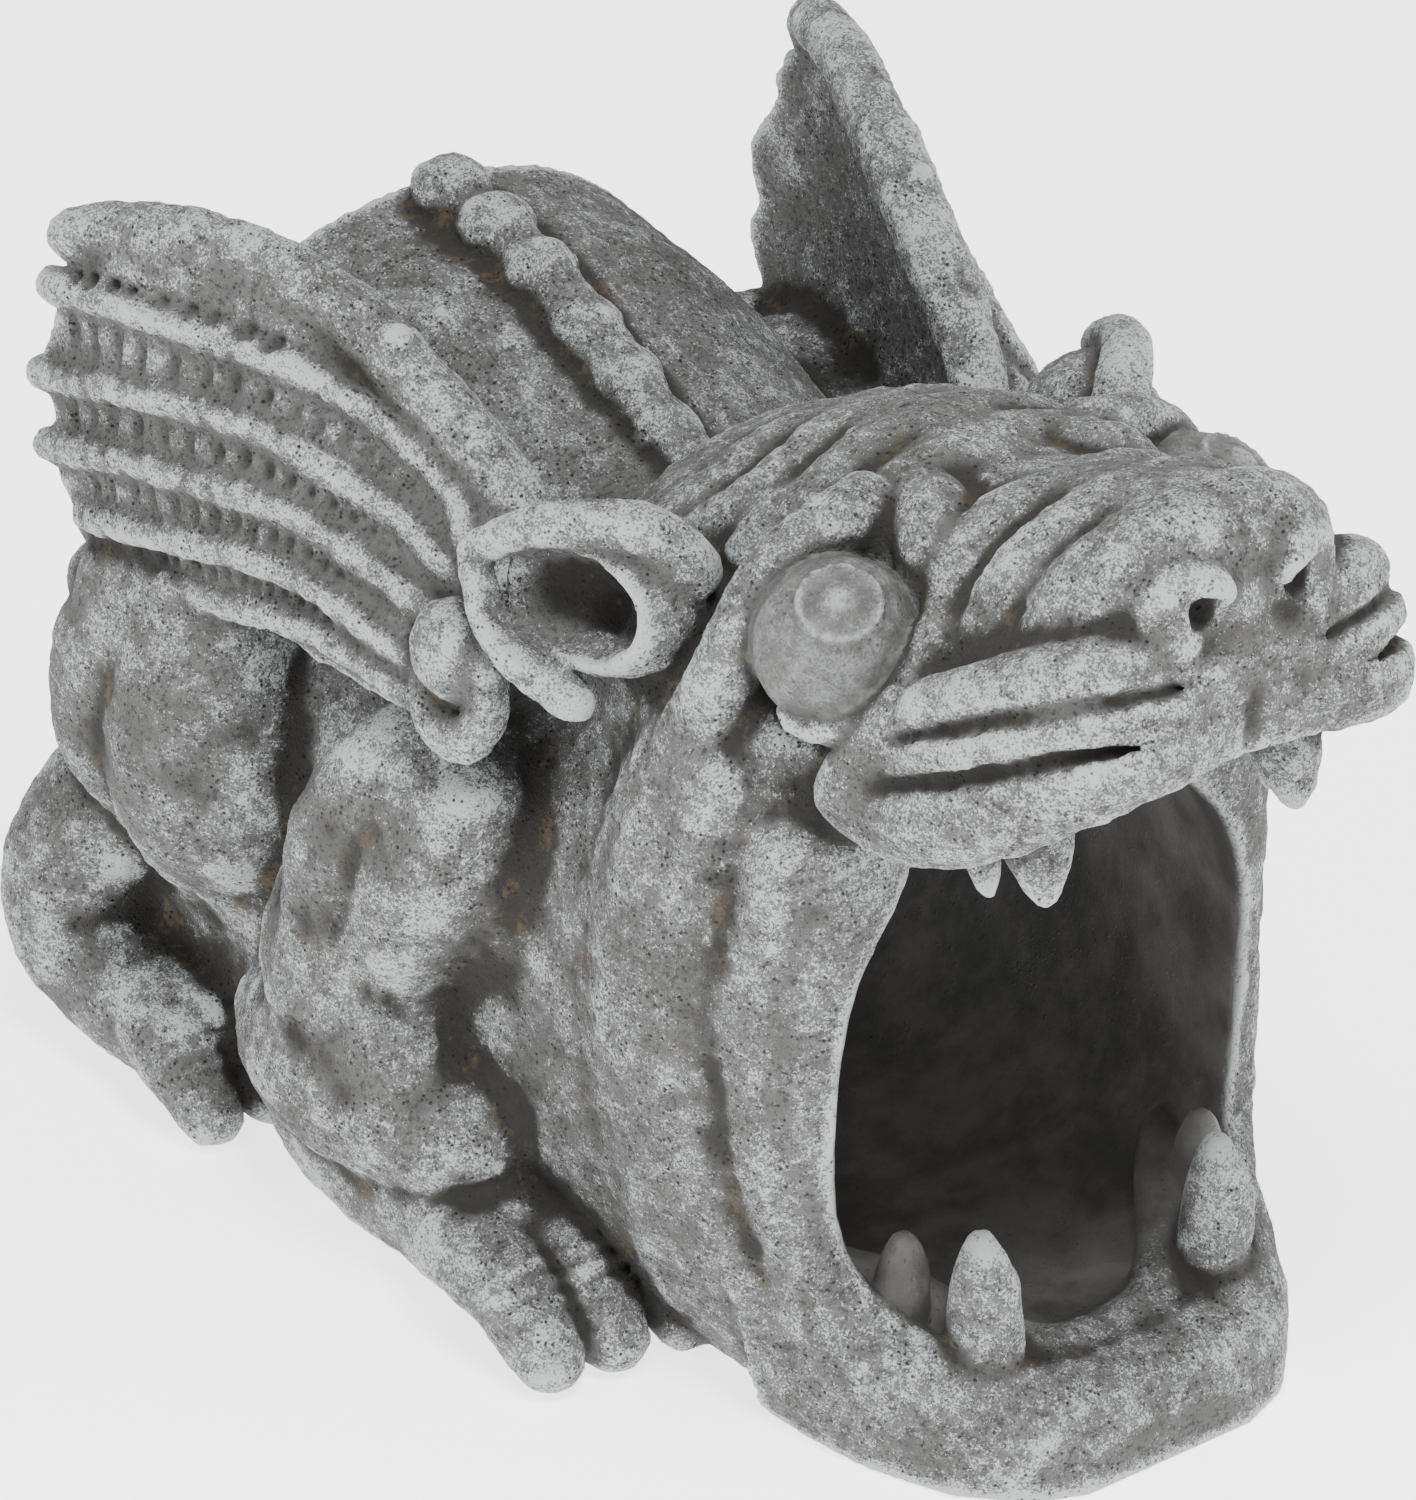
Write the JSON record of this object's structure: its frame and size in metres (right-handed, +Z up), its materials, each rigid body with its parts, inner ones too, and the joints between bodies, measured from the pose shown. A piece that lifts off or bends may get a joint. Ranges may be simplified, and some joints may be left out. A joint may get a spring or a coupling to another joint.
{
  "type": "downspout gargoyle",
  "caption": "Hollow cast-stone gargoyle that crouches over the foot of a downspout and lets the water out through its wide open mouth",
  "frame": {"origin": "middle of the part's footprint box, on the ground it stands on", "axes": "+Z up, the animal faces -Y and its open back is at +Y, +X is its left side"},
  "size_m": [0.2546, 0.3636, 0.2632],
  "materials": {
    "stone": "rough grey cast stone with paler rubbed edges and dark recesses"
  },
  "bodies": {
    "root": {"gargoyle": "stone"}
  },
  "joints": []
}
